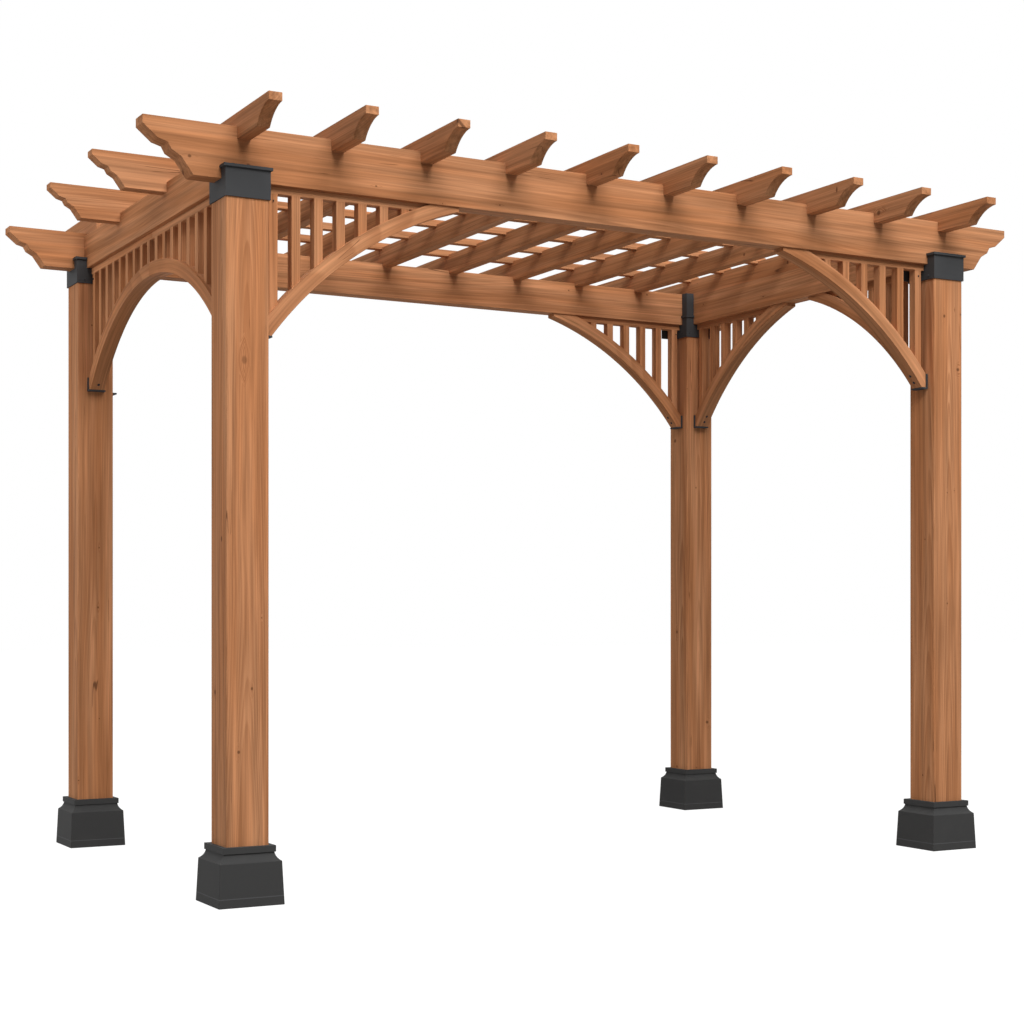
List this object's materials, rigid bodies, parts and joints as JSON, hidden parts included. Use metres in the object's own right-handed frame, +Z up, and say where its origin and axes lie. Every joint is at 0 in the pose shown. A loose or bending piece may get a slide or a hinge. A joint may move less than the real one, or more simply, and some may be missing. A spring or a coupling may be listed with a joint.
{
  "type": "wooden pergola",
  "caption": "Free-standing wooden pergola: square posts with dark skirts and steel caps, ogee-ended beams, notched rafters, purlins, and curved lattice braces under the beams.",
  "frame": {"origin": "on the floor, midway between the four posts", "axes": "+X along the long beams, +Y to the back, across them, +Z up"},
  "size_m": [3.51, 2.29, 2.489],
  "materials": {
    "stained_wood": "semi-transparent reddish-brown stain, satin",
    "black_steel": "fine-textured charcoal powder coat",
    "skirt_plastic": "matt charcoal"
  },
  "bodies": {
    "root": {"back_beam": "stained_wood", "back_left_post": "stained_wood", "back_left_post_base": "skirt_plastic", "back_left_post_cap": "black_steel", "back_right_brace": "stained_wood", "back_right_post": "stained_wood", "back_right_post_base": "skirt_plastic", "back_right_post_cap": "black_steel", "brace_shoes": "black_steel", "front_beam": "stained_wood", "front_left_brace": "stained_wood", "front_left_post": "stained_wood", "front_left_post_base": "skirt_plastic", "front_left_post_cap": "black_steel", "front_right_brace": "stained_wood", "front_right_post": "stained_wood", "front_right_post_base": "skirt_plastic", "front_right_post_cap": "black_steel", "left_back_tail": "stained_wood", "left_front_tail": "stained_wood", "left_rafter_ends": "stained_wood", "left_side_back_brace": "stained_wood", "left_side_beam": "stained_wood", "left_side_front_brace": "stained_wood", "purlin_1": "stained_wood", "purlin_2": "stained_wood", "purlin_3": "stained_wood", "purlin_4": "stained_wood", "purlin_5": "stained_wood", "purlin_6": "stained_wood", "rafter_1": "stained_wood", "rafter_2": "stained_wood", "rafter_3": "stained_wood", "rafter_4": "stained_wood", "rafter_5": "stained_wood", "rafter_6": "stained_wood", "rafter_7": "stained_wood", "rafter_8": "stained_wood", "rafter_9": "stained_wood", "right_back_tail": "stained_wood", "right_front_tail": "stained_wood", "right_side_back_brace": "stained_wood", "right_side_beam": "stained_wood", "right_side_front_brace": "stained_wood"}
  },
  "joints": []
}
